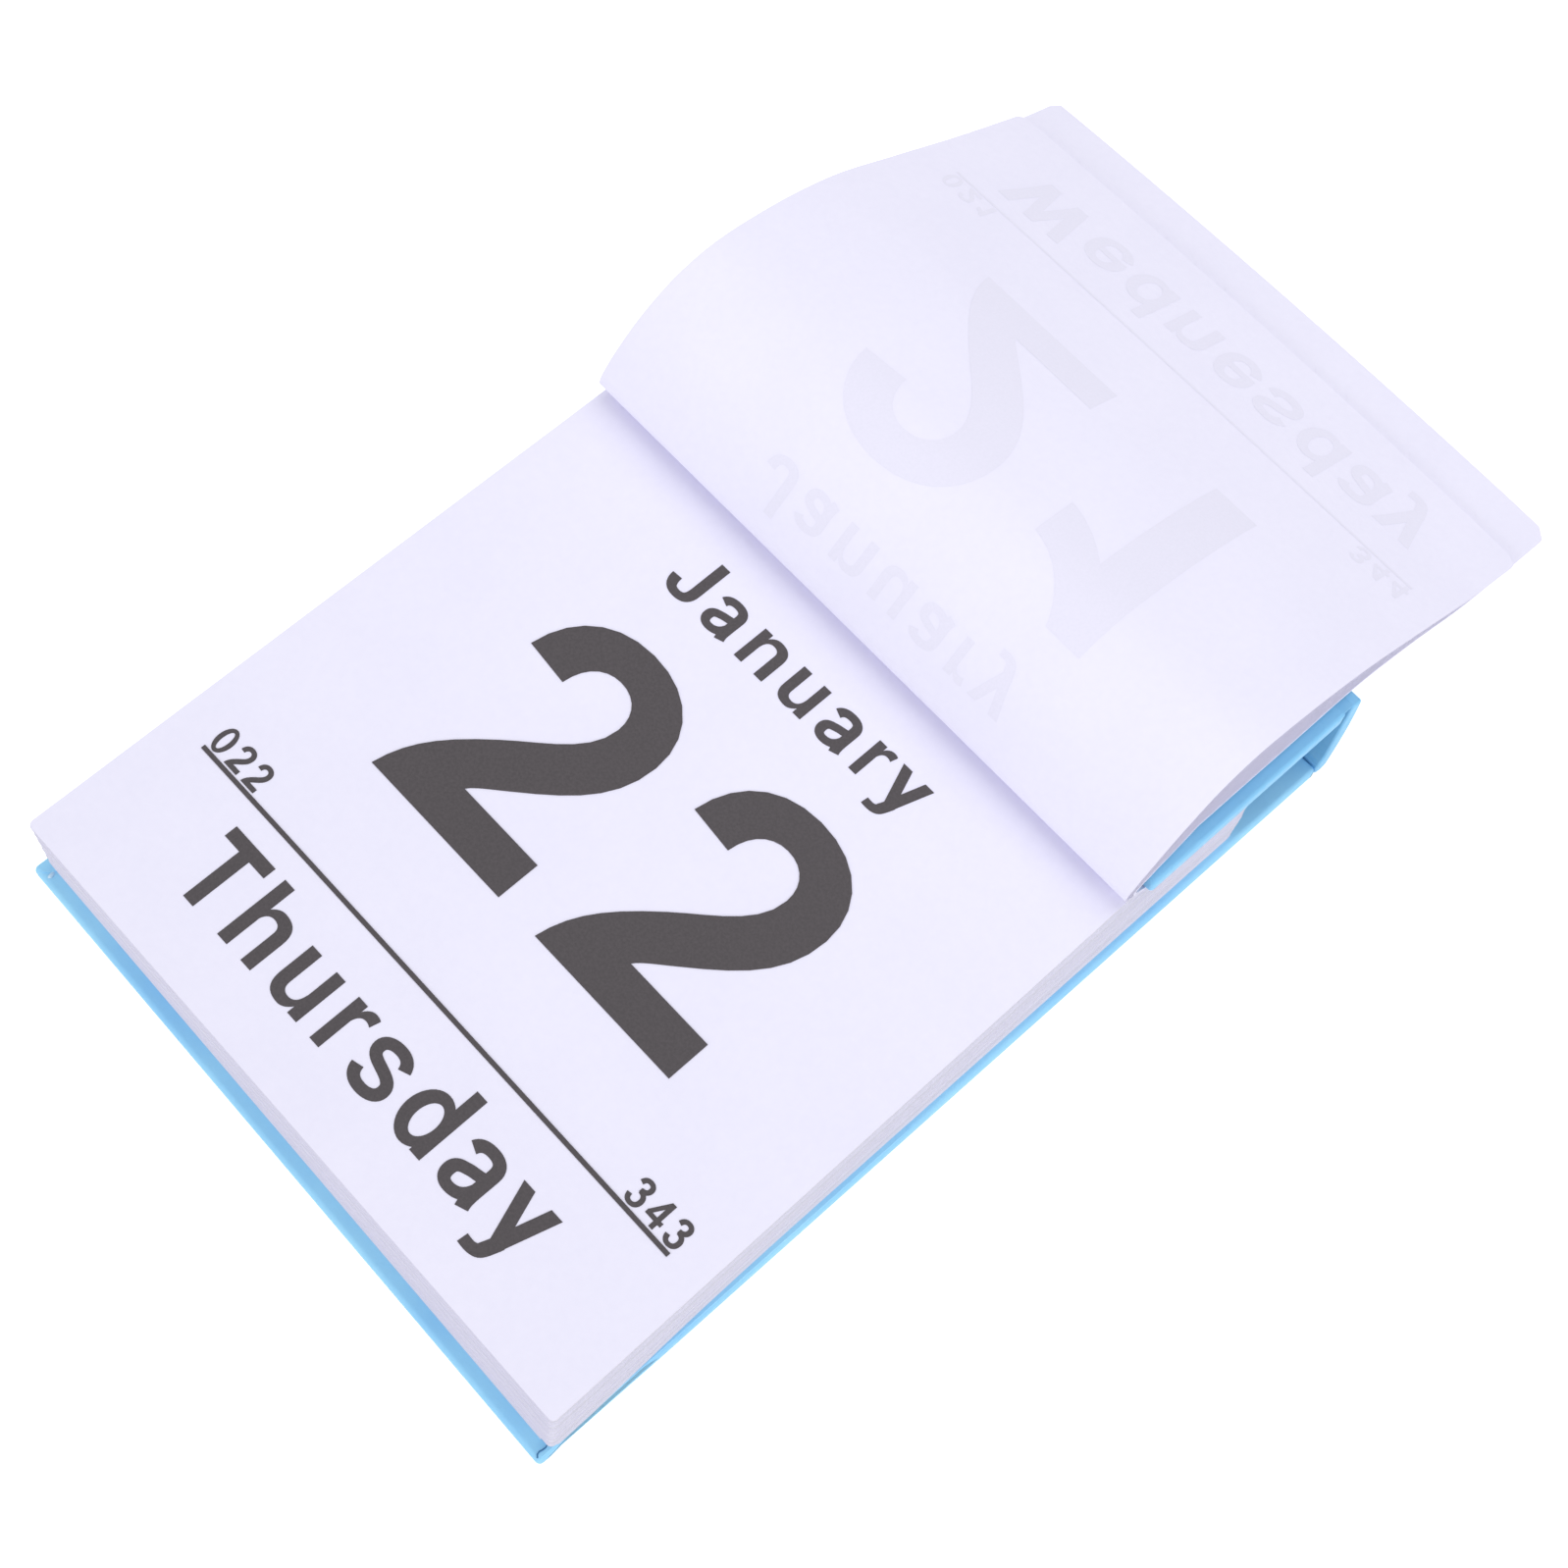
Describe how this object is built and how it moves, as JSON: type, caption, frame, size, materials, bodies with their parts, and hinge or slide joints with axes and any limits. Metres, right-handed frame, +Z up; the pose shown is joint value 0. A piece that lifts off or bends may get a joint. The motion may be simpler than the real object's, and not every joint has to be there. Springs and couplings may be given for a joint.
{
  "type": "tear-off wall calendar",
  "caption": "Tear-off day calendar lying on its back: a thick block of date sheets in a blue covered case, used sheets turned back over the short front flap.",
  "frame": {"origin": "middle of the footprint's bounding box, at the underside of the back cover", "axes": "+X is the reading direction of the date, +Y runs from the page's free edge to the spine, +Z up out of the pages"},
  "size_m": [0.105, 0.1934, 0.0349],
  "materials": {
    "back_paper": "matt light blue covering paper over board",
    "spine_paper": "matt light blue covering paper over board",
    "flap_paper": "matt light blue covering paper over board",
    "paper": "thin uncoated white paper, cut edges",
    "turned_paper": "thin uncoated white paper, back of the sheets",
    "ink_left": "printed dark grey ink",
    "ink_right": "printed dark grey ink",
    "ink_rule": "printed dark grey ink"
  },
  "bodies": {
    "root": {"back_cover": "back_paper", "spine": "spine_paper", "front_flap": "flap_paper", "page_block": "paper", "turned_sheets": "turned_paper", "date_digit_left": "ink_left", "date_digit_right": "ink_right", "rule_line": "ink_rule"}
  },
  "joints": []
}
